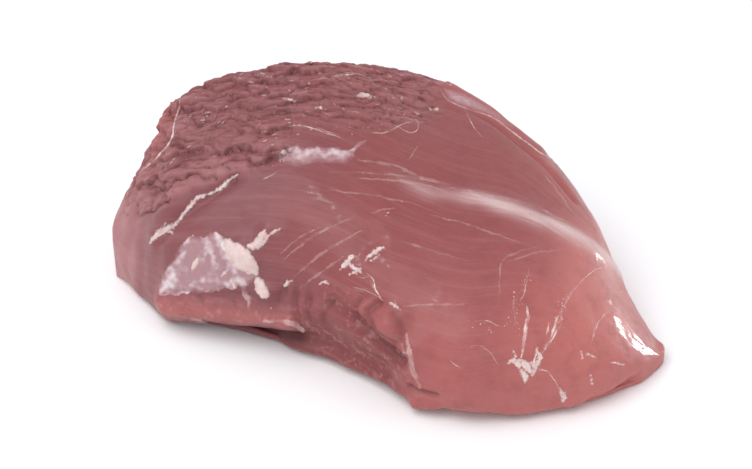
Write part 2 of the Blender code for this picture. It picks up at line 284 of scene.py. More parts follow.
def flakes(points, strength, size, depth, lean):
    """Flakes of torn grain, laid like shingles: height of each point, and how much painted shade it takes in a crack.
    """
    height, cleft = np.zeros(len(points)), np.zeros(len(points))
    for i in np.nonzero(strength > 0.01)[0]:
        x, y, z = points[i]
        place = Vector((x / size[0], (y + lean * x) / size[1], (z - lean * x) / size[2]))
        for bend, share in FLAKE_BENDS:
            place += share * noise.noise_vector(Vector(points[i]) / bend)
        distances, centres = noise.voronoi(place)
        edge = distances[1] - distances[0]
        above = abs((centres[1] - centres[0]).normalized().dot(FREE_EDGE))
        between = SIDE_CRACK + (1 - SIDE_CRACK) * above
        crack = CRACK_DEPTH * math.exp(-CRACK_SHARPNESS * edge) * between
        standing = (place - centres[0]).dot(FREE_EDGE)
        step = FLAKE_STEP * noise.noise(centres[0] * 3.7)
        height[i] = depth * strength[i] * (max(-1.0, min(1.0, FLAKE_RAMP * standing)) + step - crack)
        # painted shade in the crack, darkest below a flake's free edge
        cleft[i] = strength[i] * between * math.exp(-12 * edge) * (0.85 - 0.35 * math.tanh(3 * standing))
    return height, cleft


def torn_zones(points):
    """How strong each kind of torn grain is: plates, scales, crags and crumbs."""
    x, y, z = points.T
    inside = smooth_step(-1.5, 2, y - np.interp(x, *np.array(TORN_EDGE, float).T))
    inside *= 1 - smooth_step(*TORN_RIGHT, x)
    inside *= smooth_step(TORN_LOW, TORN_HIGH, z)
    inside *= 0.55 + 0.45 * smooth_step(-84, -70, x)
    plates = inside * (1 - smooth_step(*PLATES_END, x))
    crags = (inside - plates) * smooth_step(*CRAGS_START, y) * (1 - smooth_step(*CRAGS_END, x))
    rest = inside - plates - crags
    scales = rest * (1 - smooth_step(*SCALES_END, x))
    crumbs = (rest - scales) * (0.1 + 0.9 * smooth_step(*CRUMBS_START, y))
    return plates, scales, crags, crumbs


def relief(points, zones):
    """How far each point of the body stands out, in millimetres, and how much painted shade it takes in a crack."""
    height, cleft = -FLAKES_SUNK * sum(zones[:3]), np.zeros(len(points))
    for strength, kind in zip(zones, (PLATES, SCALES, CRAGS, CRUMBS)):
        rise, crack = flakes(points, strength, *kind)
        height += rise
        cleft = np.maximum(cleft, crack)
    for line, rise, width in LINES:
        height += rise * np.exp(-(distance_to_line(points, line) / width) ** 2)
    for centre, rise, radius in LUMPS:
        height += rise * np.exp(-(np.linalg.norm(points - np.array(centre), axis=1) / radius) ** 2)
    for size, rise in SWELLS:
        height += rise * waves(points, size)
    x, y, z = points.T
    on_left_end = smooth_step(-62, -74, x) * smooth_step(38, 28, z) * smooth_step(2, 8, z)
    height += FLUTE_HEIGHT * on_left_end * np.sin((y - 0.6 * x) / FLUTE_WIDTH + 2.5 * waves(points, 14))
    return height, cleft


SLIVERS = ((7.5, 3.2, 2.1), 0.40, 0.18)  # small flakes on the big ones
WRINKLES = [((0.30, 1.0, 1.0), 1.5, 0.06), ((1.0, 1.0, 1.0), 3.6, 0.10)]  # (squash, size, height)
TORN_FUZZ, CUT_FUZZ = 0.2, 0.5

# Folds too narrow for the solid: (points, height, width)
WAIST_FOLDS = [([(-30, -30, 25), (-32, -31, 20), (-30, -34, 15)], -1.3, 1.1),
               ([(-26, -30, 26), (-27, -32, 22), (-25, -34, 14)], -1.5, 1.0),
               ([(-22, -32, 26), (-23, -35, 21), (-21, -33, 12)], -1.4, 1.0),
               ([(-15, -38, 27), (-18, -38, 22), (-16, -36, 13)], -1.2, 1.1)]
BROW_FOLDS = [([(0, -45.5, 31.5), (-2.4, -45.8, 29.5), (-2.9, -46.8, 27), (-1.5, -48.8, 25), (1.5, -51, 24),
                (4.8, -53, 23)], -1.9, 1.1),
              ([(4.5, -49.3, 30.5), (6.2, -51.2, 28.8), (7.2, -52.8, 26.5), (6.5, -53.6, 24.5)], -0.8, 1.1),
              ([(-5.5, -42.2, 31), (-7.4, -42.8, 28.8), (-7, -44, 26.3), (-4.8, -46, 25)], -1.3, 1.0)]
BROW_FILL = ([(-16, -37, 27), (-13, -39, 26.5), (-10, -42, 26)], 1.8, 2.2)
BROW_SWELLS = [((-4.2, -44.8, 29), 1.4, 3.0), ((2.9, -50.5, 27.5), 1.2, 4.5)]  # (centre, height, radius)
BOARD_BITS = [((10.6, -58.9, 6.0), 1.7, 2.2), ((14.6, -61.0, 5.6), 1.3, 2.0)]
BITS_CREASE = ([(8.4, -57.6, 9.4), (11.5, -59.6, 9.0), (16.5, -62, 9.8)], -1.4, 0.9)
LIP_RECESS = ([(-54, -23.4, 4), (-44, -25, 4), (-36, -29, 6.5), (-31, -30.6, 7.5), (-26.5, -32.7, 8.5)], -2.4, 2.6)
TENDON = ([(8, -56, 28), (8, -60, 24), (9, -62, 19), (12, -63, 13)], 0.7, 1.4)
LIP_FOLDS = [([(-66, -20, 13), (-65, -22, 11), (-66, -20, 7)], -0.7, 0.9),
             ([(-57, -22, 16), (-55, -25, 14), (-56, -24, 9)], -0.8, 1.0),
             ([(-46, -25, 17), (-45, -28, 15), (-47, -27, 10)], -0.7, 0.9),
             ([(-38, -29, 20), (-37, -31, 17), (-39, -30, 12)], -0.8, 0.9)]
SLITS = [([(-74, 16, 38), (-67, 8, 45), (-60, 3, 49), (-56, 3, 51)], -0.8, 0.8),
         ([(-75, 9, 37), (-66, 2, 45), (-58, 0, 48)], -0.9, 0.7),
         ([(-77, 7, 34), (-70, 3, 40), (-61, -3, 46)], -0.8, 0.7),
         ([(-62, 10, 50), (-54, 6, 52), (-44, 5, 53)], -0.8, 0.8)]
FINE_LINES = WAIST_FOLDS + BROW_FOLDS + [BROW_FILL, LIP_RECESS, BITS_CREASE, TENDON] + LIP_FOLDS + SLITS


def near(points, line, width):
    return np.exp(-(distance_to_line(points, line) / width) ** 2)


def lumps(points, places):
    """Smooth lumps, each a (centre, height, radius)."""
    return sum(rise * np.exp(-(np.linalg.norm(points - np.array(centre), axis=1) / radius) ** 2)
               for centre, rise, radius in places)


def cut_edges(points):
    """1 along the lip and the waist, where the meat is cut ragged."""
    return np.clip(near(points, FILM_LIP[0], 5) + near(points, WAIST[0], 11) + near(points, BROW_CREASE[0], 5), 0, 1)


def fine_relief(points, torn):
    """What is too fine for the solid: slivers on the torn cut, and soft wrinkles everywhere."""
    height, cleft = flakes(points, torn, *SLIVERS)
    for squash, size, rise in WRINKLES:
        height += rise * waves(points * np.array(squash), size)
    height += lumps(points, BROW_SWELLS + BOARD_BITS) + TORN_FUZZ * torn * waves(points, 1.1)
    height += CUT_FUZZ * cut_edges(points) * waves(points * np.array((0.6, 1.0, 0.8)), 2.0)
    for line, rise, width in FINE_LINES:
        dent = near(points, line, width)
        height += rise * dent
        # a groove takes painted shade as well
        if rise < 0:
            cleft = np.maximum(cleft, 0.8 * dent)
    return height, cleft


# Where a pixel of a view meets the flesh

class Sight:
    """A camera as a point and three directions, in millimetres: the photograph's, or one turned from it."""

    def __init__(self, stage, turned=0.0, elevation=None):
        azimuth = stage.azimuth + turned
        elevation = stage.elevation if elevation is None else elevation
        level = math.cos(elevation)
        self.back = Vector((math.sin(azimuth) * level, -math.cos(azimuth) * level, math.sin(elevation)))
        self.right = Vector((0, 0, 1)).cross(self.back).normalized()
        self.up = self.back.cross(self.right)
        self.eye = (Vector(stage.look_at) + self.back * stage.distance) / MM
        self.focal = PHOTO_WIDTH * stage.lens / SENSOR_WIDTH

    def line(self, pixel):
        across = (pixel[0] - AXIS_COLUMN) / self.focal
        down = (pixel[1] - AXIS_ROW) / self.focal
        return (self.right * across - self.up * down - self.back).normalized()

    def pixel(self, place):
        gap = Vector(place) - self.eye
        depth = -gap.dot(self.back)
        return (AXIS_COLUMN + self.focal * gap.dot(self.right) / depth,
                AXIS_ROW - self.focal * gap.dot(self.up) / depth)


class Surface:
    """The finished flesh as something to lay other pieces on, seen from one side."""

    def __init__(self, sight):
        data = bpy.data.objects["flesh"].data
        points = [vertex.co / MM for vertex in data.vertices]
        self.tree = BVHTree.FromPolygons(points, [face.vertices for face in data.polygons])
        self.sight = sight

    def under(self, pixel):
        """The point and outward direction of the flesh at a pixel, or None beside it."""
        place, normal, _, _ = self.tree.ray_cast(self.sight.eye, self.sight.line(pixel))
        return (place, normal) if place else None


def smooth_line(line, step):
    """Points about a step apart on a smooth curve through a line's points."""
    knots = np.array(line, float)
    knots = np.vstack([2 * knots[0] - knots[1], knots, 2 * knots[-1] - knots[-2]])
    points = []
    for a, b, c, d in zip(knots, knots[1:], knots[2:], knots[3:]):
        for t in np.linspace(0, 1, max(2, int(np.linalg.norm(c - b) / step)), endpoint=False):
            points.append(0.5 * (2 * b + (c - a) * t + (2 * a - 5 * b + 4 * c - d) * t**2
                                 + (3 * b - a - 3 * c + d) * t**3))
    return np.array(points + [knots[-2]])


def inside_outline(points, outline):
    """Distance in from a closed outline, below zero outside it."""
    closed = smooth_line(list(outline) + [outline[0]], 4)
    distance = distance_to_line(points, closed)
    x, y = points.T
    inside = np.zeros(len(points), bool)
    for (x1, y1), (x2, y2) in zip(closed[:-1], closed[1:]):
        if y1 != y2:
            inside ^= ((y1 > y) != (y2 > y)) & (x < (x2 - x1) * (y - y1) / (y2 - y1) + x1)
    return np.where(inside, distance, -distance)


def inside_strokes(points, strokes):
    """Distance in from brush strokes, each a list of (column, row, half width)."""
    best = np.full(len(points), -np.inf)
    for stroke in strokes:
        line = smooth_line(stroke, 3)
        for start, end in zip(line[:-1], line[1:]):
            run = (end - start)[:2]
            share = np.clip((points - start[:2]) @ run / (run @ run), 0, 1)
            gap = np.linalg.norm(points - start[:2] - share[:, None] * run, axis=1)
            best = np.maximum(best, start[2] + share * (end[2] - start[2]) - gap)
    return best


def draped(surface, shape, corners, spacing, ragged, lift, white=None):
    """A thin closed sheet on the flesh: a grid in the view, cut to a ragged shape and laid on the surface.

    shape gives the distance in from the edge at each pixel, ragged is (size, amount) of the torn edge in
    pixels, lift gives the height above the flesh from that distance and the pixel, and white how white it is.
    """
    def depth_at(points):
        depth = shape(points)
        for i in np.nonzero(abs(depth) < 2 * ragged[1])[0]:
            spot = Vector((*points[i], 3.0)) / ragged[0]
            depth[i] += ragged[1] * (noise.noise(spot) + 0.6 * noise.noise(spot * 3.1))
        return depth

    (left, top), (right, bottom) = corners
    mesh = bmesh.new()
    bmesh.ops.create_grid(mesh, x_segments=int((right - left) / spacing),
                          y_segments=int((bottom - top) / spacing), size=0.5)
    middle, reach = Vector(((left + right) / 2, (top + bottom) / 2, 0)), Vector((right - left, bottom - top, 1))
    for vertex in mesh.verts:
        vertex.co = middle + vertex.co * reach
    depths = depth_at(np.array([vertex.co[:2] for vertex in mesh.verts]))
    outside = {vertex for vertex, depth in zip(mesh.verts, depths) if depth < 0}
    bmesh.ops.delete(mesh, geom=[face for face in mesh.faces if outside.issuperset(face.verts)], context="FACES")
    bmesh.ops.delete(mesh, geom=[vertex for vertex in mesh.verts if not vertex.link_faces], context="VERTS")

    pixels = np.array([vertex.co[:2] for vertex in mesh.verts])
    depths = depth_at(pixels)
    low = np.nonzero(depths < 0)[0]
    for _ in range(2):  # the outermost points slide onto the shape's edge
        here, reach = pixels[low], 0.3
        slope = np.stack([depth_at(here + (reach, 0)) - depth_at(here - (reach, 0)),
                          depth_at(here + (0, reach)) - depth_at(here - (0, reach))], 1) / (2 * reach)
        move = -slope * (depth_at(here) / np.maximum((slope**2).sum(1), 0.2))[:, None]
        pixels[low] += np.clip(move, -spacing, spacing)
    depths = np.maximum(depth_at(pixels), 0)
    lifts = [lift(depth, pixel) for depth, pixel in zip(depths, pixels)]
    return laid_sheet(mesh, surface, pixels, depths, lifts, white(pixels) if white else np.zeros(len(pixels)))


def laid_sheet(mesh, surface, pixels, depths, lifts, whites):
    """A flat sheet's points laid on the flesh at their pixels and lifted, and the sheet closed underneath."""
    rim = mesh.verts.layers.float.new("rim")
    pale = mesh.verts.layers.float.new("white")
    foot = mesh.verts.layers.float_vector.new("foot")
    lost = []
    for vertex, pixel, depth, height, whiteness in zip(mesh.verts[:], pixels, depths, lifts, whites):
        met = surface.under(pixel)
        if met is None:
            lost.append(vertex)
            continue
        place, normal = met
        vertex[rim], vertex[pale] = depth, whiteness
        vertex[foot] = place - normal * SHEET_ROOT
        vertex.co = place + normal * height
    bmesh.ops.delete(mesh, geom=lost, context="VERTS")
    extruded = bmesh.ops.extrude_face_region(mesh, geom=mesh.faces[:], use_keep_orig=True)["geom"]
    for vertex in extruded:
        if isinstance(vertex, bmesh.types.BMVert):
            vertex.co = vertex[foot]
            vertex[rim] = 0
    mesh.verts.layers.float_vector.remove(foot)
    mesh.normal_update()
    bmesh.ops.recalc_face_normals(mesh, faces=mesh.faces)
    return mesh


SHEET_ROOT = 0.35  # how far a sheet's hidden side lies inside the flesh, in millimetres


def dome(height, shoulder, roughness, grain):
    """A lift that rises from the edge over a shoulder of some pixels, and is lumpy on top."""
    def lift(depth, pixel):
        share = min(depth / shoulder, 1.0)
        lumps = noise.noise(Vector((pixel[0], pixel[1], 5.0)) / grain)
        return height * math.sqrt(1 - (1 - share) ** 2) * (1 + roughness * lumps) + 0.03
    return lift


def joined(meshes):
    """Several bmeshes as one."""
    whole = meshes[0]
    for mesh in meshes[1:]:
        data = bpy.data.meshes.new("joined")
        mesh.to_mesh(data)
        mesh.free()
        whole.from_mesh(data)
        bpy.data.meshes.remove(data)
    return whole


def ribbon(surface, line, height, seed):
    """A flattened thread along a line of (column, row, half width in pixels), a little uneven in width."""
    path = smooth_line(line, THREAD_STEP)
    run = np.gradient(path[:, :2], axis=0)
    side = np.stack([-run[:, 1], run[:, 0]], 1) / np.linalg.norm(run, axis=1)[:, None]
    mesh = bmesh.new()
    bmesh.ops.create_grid(mesh, x_segments=len(path) - 1, y_segments=THREAD_STRIPS, size=0.5)
    pixels, depths, lifts = [], [], []
    for vertex in mesh.verts:
        k, across = round((vertex.co.x + 0.5) * (len(path) - 1)), 2 * vertex.co.y
        sway = noise.noise(Vector((k * 0.16, seed, 0)))
        wide = path[k, 2] * (0.9 + 0.7 * noise.noise(Vector((k * 0.5, seed, 4))))
        pixels.append(path[k, :2] + side[k] * (across * wide + 1.1 * sway))
        depths.append((1 - abs(across)) * wide)
        lifts.append(height * min(1.0, wide) * math.sqrt(max(0.0, 1 - across**2)) + 0.02)
    return laid_sheet(mesh, surface, pixels, depths, lifts, np.ones(len(pixels)))


THREAD_STEP, THREAD_STRIPS = 1.3, 4  # pixels between the points along a thread, and strips across it


def tapered(line, half_width, start=0.0, end=1.0):
    """A stretch of a line of (column, row), with a half width that falls to a point at both ends."""
    path = smooth_line(line, 4)
    path = path[int(start * (len(path) - 1)):max(int(end * (len(path) - 1)) + 1, int(start * (len(path) - 1)) + 3)]
    taper = np.sin(math.pi * np.linspace(0.06, 0.94, len(path))) ** 0.5
    return np.column_stack([path, half_width * taper])


def scattered_bits(places, sizes, flatness, seed, subdivisions):
    """Small uneven lumps, one at each (place, direction), as long as sizes says."""
    draw = random.Random(seed)
    mesh = bmesh.new()
    for (place, normal), size in zip(places, sizes):
        made = bmesh.ops.create_icosphere(mesh, subdivisions=subdivisions, radius=1.0)["verts"]
        side = normal.orthogonal().normalized()
        other = normal.cross(side)
        turn = draw.uniform(0, 2 * math.pi)
        along = side * math.cos(turn) + other * math.sin(turn)
        across = normal.cross(along)
        wide = draw.uniform(0.25, 0.6)
        shift = draw.uniform(0, 100)
        for vertex in made:
            push = 1 + 0.35 * noise.noise(vertex.co * 1.6 + Vector((shift, 0, 0)))
            part = vertex.co * push * size / 2
            vertex.co = place + along * part.x + across * part.y * wide + normal * part.z * flatness
    mesh.normal_update()
    bmesh.ops.recalc_face_normals(mesh, faces=mesh.faces)
    return mesh


# Materials

def blend(tree, low, high, share):
    """A colour between two, each a colour or a socket, by a share or a socket."""
    mix = add_node(tree, "ShaderNodeMix", data_type="RGBA")
    for socket, value in ((mix.inputs[0], share), (mix.inputs[6], low), (mix.inputs[7], high)):
        if isinstance(value, bpy.types.NodeSocket):
            tree.links.new(value, socket)
        else:
            socket.default_value = value
    return mix.outputs[2]


def remapped(tree, value, low, high, to_low, to_high):
    span = {"Value": value, "From Min": low, "From Max": high, "To Min": to_low, "To Max": to_high}
    return add_node(tree, "ShaderNodeMapRange", span).outputs["Result"]


def noise_in(tree, place, scale, detail=4.0, roughness=0.6):
    settings = {"Vector": place, "Scale": scale, "Detail": detail, "Roughness": roughness}
    return add_node(tree, "ShaderNodeTexNoise", settings).outputs["Fac"]


def wet_tissue(name):
    """A material with the scattering that all the meat's tissues share, and its parts."""
    material = bpy.data.materials.new(name)
    material.use_nodes = True
    tree = material.node_tree
    shader = tree.nodes["Principled BSDF"]
    shader.inputs["Subsurface Radius"].default_value = (1.0, 0.35, 0.25)
    place = add_node(tree, "ShaderNodeTexCoord").outputs["Object"]
    return material, tree, shader, place


def flesh_material(settings):
    """Raw muscle, moist: soft pink that lets light in, with painted shade in the clefts, a painted highlight on raised
    flakes and a painted cool reflection on the left, a satin skin and fine grain.
    """
    material, tree, shader, place = wet_tissue("raw_muscle_moist")
    masks = {name: add_node(tree, "ShaderNodeAttribute", attribute_name=name).outputs["Fac"] for name in MASKS}
    grain = add_node(tree, "ShaderNodeUVMap", uv_map="grain").outputs["UV"]
    # Grain coordinates are millimetres: streaks about 20 mm long and 1 mm wide, then bands 5 mm wide
    fine = add_node(tree, "ShaderNodeMapping", {"Vector": grain, "Scale": (0.05, 0.95, 1.0)}).outputs["Vector"]
    broad = add_node(tree, "ShaderNodeMapping", {"Vector": grain, "Scale": (0.02, 0.2, 1.0)}).outputs["Vector"]
    fibres = noise_in(tree, fine, 1.0, 4.0, 0.62)
    bands = noise_in(tree, broad, 1.0, 3.0, 0.55)
    mottle = noise_in(tree, place, 150.0, 5.0, 0.65)

    colour = linear(settings.flesh)
    # among these, shade is painted shade, flake adds a painted highlight on raised flakes, and mauve a painted cool
    # reflection besides its own tone
    for name, hue in (("mauve", settings.mauve), ("warm", settings.warm), ("red", settings.red),
                      ("pink", settings.pink), ("shade", settings.shade_and_mottle), ("flake", settings.flake)):
        colour = blend(tree, colour, linear(hue), masks[name])
    # the meat's own random dark mottles, in the same colour as the painted shade
    colour = blend(tree, colour, linear(settings.shade_and_mottle), remapped(tree, mottle, 0.48, 0.8, 0.0, 0.38))
    colour = blend(tree, colour, linear(settings.pale), remapped(tree, bands, 0.5, 0.8, 0.0, 0.30))
    colour = blend(tree, colour, linear(settings.pale), remapped(tree, fibres, 0.56, 0.8, 0.0, 0.42))
    specks = add_node(tree, "ShaderNodeMath", {0: masks["cut"], 1: remapped(tree, noise_in(tree, place, 430.0, 6.0),
                                                                            0.52, 0.70, 0.0, 0.45)},
                      operation="MULTIPLY").outputs["Value"]
    colour = blend(tree, colour, linear(settings.speck), specks)
    streaked = add_node(tree, "ShaderNodeMath", {0: masks["silver"], 1: remapped(tree, fibres, 0.3, 0.6, 0.55, 1.0)},
                        operation="MULTIPLY").outputs["Value"]
    colour = blend(tree, colour, linear(settings.silver), streaked)
    # painted shade at the bottom of cracks, grooves and the lip recess
    colour = blend(tree, colour, linear(settings.cleft), masks["cleft"])
    tree.links.new(colour, shader.inputs["Base Color"])

    bumps = add_node(tree, "ShaderNodeMath", {0: noise_in(tree, place, 900.0, 3.0), 1: fibres}, operation="ADD")
    bump = add_node(tree, "ShaderNodeBump", {"Height": bumps.outputs["Value"], "Distance": 0.0003,
                                             "Strength": remapped(tree, masks["flake"], 0.0, 0.8, 0.3, 0.9)})
    tree.links.new(bump.outputs["Normal"], shader.inputs["Normal"])
    tree.links.new(remapped(tree, mottle, 0.3, 0.7, 0.40, 0.58), shader.inputs["Roughness"])
    shader.inputs["Specular IOR Level"].default_value = 0.22
    shader.inputs["Coat Weight"].default_value = 0.16
    shader.inputs["Coat Roughness"].default_value = 0.12
    shader.inputs["Subsurface Weight"].default_value = 0.30
    shader.inputs["Subsurface Scale"].default_value = 0.002
    return material


def film_material(settings):
    """Silverskin: a thin wet skin that shows the meat through it, greyish pink, whiter in its folds and rim."""
    material, tree, shader, place = wet_tissue("silverskin_film")
    clouds = noise_in(tree, place, 260.0, 4.0, 0.6)
    folds = noise_in(tree, place, 900.0, 2.0, 0.5)
    rim = add_node(tree, "ShaderNodeAttribute", attribute_name="rim").outputs["Fac"]
    painted = add_node(tree, "ShaderNodeAttribute", attribute_name="white").outputs["Fac"]
    uneven = add_node(tree, "ShaderNodeMath", {0: painted, 1: remapped(tree, clouds, 0.35, 0.7, -0.22, 0.35)},
                      operation="ADD", use_clamp=True).outputs["Value"]
    colour = blend(tree, linear(settings.film), linear(settings.film_white), uneven)
    tree.links.new(colour, shader.inputs["Base Color"])
    solid = add_node(tree, "ShaderNodeMath", {0: painted, 1: 6.0, 2: rim}, operation="MULTIPLY_ADD").outputs["Value"]
    cover = add_node(tree, "ShaderNodeMath", {0: remapped(tree, uneven, 0.0, 1.0, 0.50, 0.98),
                                              1: remapped(tree, solid, 0.0, 5.0, 0.10, 1.0)}, operation="MULTIPLY")
    tree.links.new(cover.outputs["Value"], shader.inputs["Alpha"])
    bump = add_node(tree, "ShaderNodeBump", {"Height": folds, "Strength": 0.5, "Distance": 0.0003})
    tree.links.new(bump.outputs["Normal"], shader.inputs["Normal"])
    shader.inputs["Roughness"].default_value = 0.30
    shader.inputs["Specular IOR Level"].default_value = 0.5
    return material


def fat_material(settings):
    """Soft fat: creamy white with a pink blush, see-through where it thins out, with a wet sheen."""
    material, tree, shader, place = wet_tissue("soft_fat_white")
    blush = remapped(tree, noise_in(tree, place, 420.0, 4.0, 0.6), 0.42, 0.72, 0.0, 1.0)
    tree.links.new(blend(tree, linear(settings.fat), linear(settings.fat_blush), blush), shader.inputs["Base Color"])
    bump = add_node(tree, "ShaderNodeBump", {"Height": noise_in(tree, place, 1100.0, 3.0), "Strength": 0.45,
                                             "Distance": 0.0003})
    tree.links.new(bump.outputs["Normal"], shader.inputs["Normal"])
    rim = add_node(tree, "ShaderNodeAttribute", attribute_name="rim").outputs["Fac"]
    tree.links.new(remapped(tree, rim, 0.0, 1.6, 0.30, 1.0), shader.inputs["Alpha"])
    shader.inputs["Roughness"].default_value = 0.34
    shader.inputs["Specular IOR Level"].default_value = 0.5
    shader.inputs["Subsurface Weight"].default_value = 0.35
    shader.inputs["Subsurface Scale"].default_value = 0.0015
    return material


def sinew_material(settings, name, cover, white):
    """Sinew in threads: pale pinkish white and glossy, more or less see-through."""
    material, tree, shader, place = wet_tissue(name)
    patchy = remapped(tree, noise_in(tree, place, 500.0, 3.0), 0.35, 0.7, 0.0, 1.0)
    tree.links.new(blend(tree, linear(settings.sinew), linear(white), patchy), shader.inputs["Base Color"])
    rim = add_node(tree, "ShaderNodeAttribute", attribute_name="rim").outputs["Fac"]
    broken = remapped(tree, noise_in(tree, place, 220.0, 1.0), 0.36, 0.60, 0.30, 1.0)
    shown = add_node(tree, "ShaderNodeMath", {0: remapped(tree, rim, 0.0, 0.9, 0.1 * cover, cover), 1: broken},
                     operation="MULTIPLY").outputs["Value"]
    tree.links.new(shown, shader.inputs["Alpha"])
    shader.inputs["Roughness"].default_value = 0.28
    return material


def bead_material():
    """Beads of juice and shreds that shine: bright pink points, their colour a painted glint on top of their gloss."""
    material, tree, shader, _ = wet_tissue("juice_beads_painted_glint")
    shader.inputs["Base Color"].default_value = linear("#e3aaa4")
    shader.inputs["Roughness"].default_value = 0.10
    shader.inputs["Specular IOR Level"].default_value = 0.8
    return material


# Settings

def colour_setting(name, description, default):
    return StringProperty(name=name, description=description, default=default)


class LambFlesh(bpy.types.PropertyGroup):
    slices: IntProperty(name="Slices", description="Slices along the length of the block", default=296)
    points_round: IntProperty(name="Points round", description="Points round each slice", default=332)
    flesh: colour_setting("Flesh", "The smooth middle of the muscle", "#924c4d")
    # the cool front and left: partly the muscle's own mauve, partly a painted cool reflection
    mauve: colour_setting("Mauve", "The cool front and left of the muscle", "#7b4e53")
    warm: colour_setting("Warm", "The thin, light end at the tip", "#c0706a")
    red: colour_setting("Red", "The lip, the brow and the lower edge", "#b06663")
    pink: colour_setting("Pink", "The pale left face", "#ad7678")
    # painted shade in the waist, under the lip, in the brow crease and darker toward the top; also the meat's own dark
    # mottles
    shade_and_mottle: colour_setting("Dark", "Hollows and mottles", "#7a3c3d")
    # the torn flakes' own tone, with a painted highlight on the higher flakes
    flake: colour_setting("Flake", "The torn flakes", "#a97172")
    pale: colour_setting("Pale", "The pale streaks between fibres", "#b07674")
    silver: colour_setting("Silver", "The thin silverskin along the ridge", "#e0c4c2")
    # painted shade at the bottom of the cracks
    cleft: colour_setting("Cleft", "The bottom of the cracks", "#552527")
    speck: colour_setting("Speck", "Pale ends of fibre along the cut edges", "#c4928e")


class LambTrimmings(bpy.types.PropertyGroup):
    film: colour_setting("Film", "The silverskin, where it is thin", "#c3a0a5")
    film_white: colour_setting("Film white", "The silverskin's folds", "#dccdcf")
    fat: colour_setting("Fat", "The soft fat", "#d9c5c0")
    fat_blush: colour_setting("Fat blush", "The pink in the fat", "#d4b0ab")
    sinew: colour_setting("Sinew", "The threads of sinew", "#d8b2ad")
    string: colour_setting("String", "The whitest strings of sinew", "#f0dfda")
    crumb: colour_setting("Crumb", "The pale crumbs on the torn cut", "#b58886")
    crumbs: IntProperty(name="Crumbs", description="How many crumbs lie on the torn cut", default=320)


class LambStage(bpy.types.PropertyGroup):
    lens: FloatProperty(name="Lens", description="Focal length in millimetres", default=105.0)
    distance: FloatProperty(name="Distance", description="From the camera to the point it looks at", default=0.7,
                            unit="LENGTH")
    azimuth: FloatProperty(name="Azimuth", description="Turn round the block", default=0.0, unit="ROTATION")
    elevation: FloatProperty(name="Elevation", description="Above the horizon", default=math.radians(35),
                             unit="ROTATION")
    look_at: FloatVectorProperty(name="Look at", description="The point on the camera's axis",
                                 default=(0.002, 0.003, 0.025), subtype="XYZ")
    floor: colour_setting("Floor", "The pale floor", "#ffffff")
    room: FloatProperty(name="Room", description="Strength of the even light of the room", default=0.9)


SETTINGS = {"lamb_flesh": LambFlesh, "lamb_trimmings": LambTrimmings, "lamb_stage": LambStage}


# The flesh

MASKS = ["mauve", "warm", "red", "pink", "shade", "flake", "cut", "silver", "cleft"]


def flesh_masks(points, torn, height, cleft):
    """Where each colour of the flesh lies, from 0 to 1: some are painted shade, highlight and cool reflection."""
    x, y, z = points.T
    soft, cloudy = waves(points, 26), waves(points, 9)
    front = smooth_step(10, -20, y)
    # mauve over the left half: partly own tone, partly a painted cool reflection on the wet surface
    mauve = smooth_step(2, -50, x) * (0.8 + 0.4 * soft) * (1 - 0.45 * torn)
    warm = smooth_step(30, 80, x + 12 * soft) * smooth_step(62, 22, z) + 0.8 * near(points, SHOULDER_FLAP[0], 5)
    warm += 0.4 * smooth_step(48, 26, z) * front * smooth_step(-5, 20, x)
    low_right = smooth_step(22, 8, z) * front * smooth_step(-2, 20, x)
    red = 0.5 * low_right + 0.35 * lumps(points, BROW_SWELLS + BOARD_BITS) + 0.8 * near(points, FILM_LIP[0], 4.5)
    red += 0.7 * near(points, BACK_STRIP[0] + BACK_CREASE[0][-2:], 6)
    pink = 0.85 * smooth_step(-70, -84, x + 3 * cloudy) * smooth_step(46, 34, z)
    # painted shade: where the waist faces down, under the lip, in the brow crease, and darker toward the top
    waist = near(points, WAIST[0], 12) * smooth_step(26, 18, z)
    shade = 0.75 * waist + 0.22 * smooth_step(45, 62, z) + 1.2 * near(points, LIP_UNDERCUT[0], 4)
    shade += 0.7 * near(points, BROW_CREASE[0], 3)
    # painted shade in the recess under the lip, where no pale specks lie
    recess = near(points, LIP_RECESS[0], 4.0)
    # own tone of the torn grain, lighter where a flake stands higher: painted highlight
    flake = torn * (0.5 + 0.45 * smooth_step(-0.8, 1.0, height)) * (1 - 0.45 * smooth_step(47, 57, z))
    flake *= 1 - 0.8 * near(points, SHOULDER_FLAP[0], 6)
    ridge = distance_to_line(points, SILVER_RIDGE[0]) + 0.9 * cloudy
    silver = 0.9 * np.exp(-(ridge / (2.8 + 1.0 * smooth_step(10, 60, x))) ** 2) * smooth_step(-4, 18, x)
    masks = {"mauve": mauve, "warm": warm, "red": red, "pink": pink, "shade": shade, "silver": silver,
             "flake": flake, "cut": cut_edges(points) - recess, "cleft": cleft + 0.85 * recess}
    return {name: np.clip(values, 0, 1) for name, values in masks.items()}


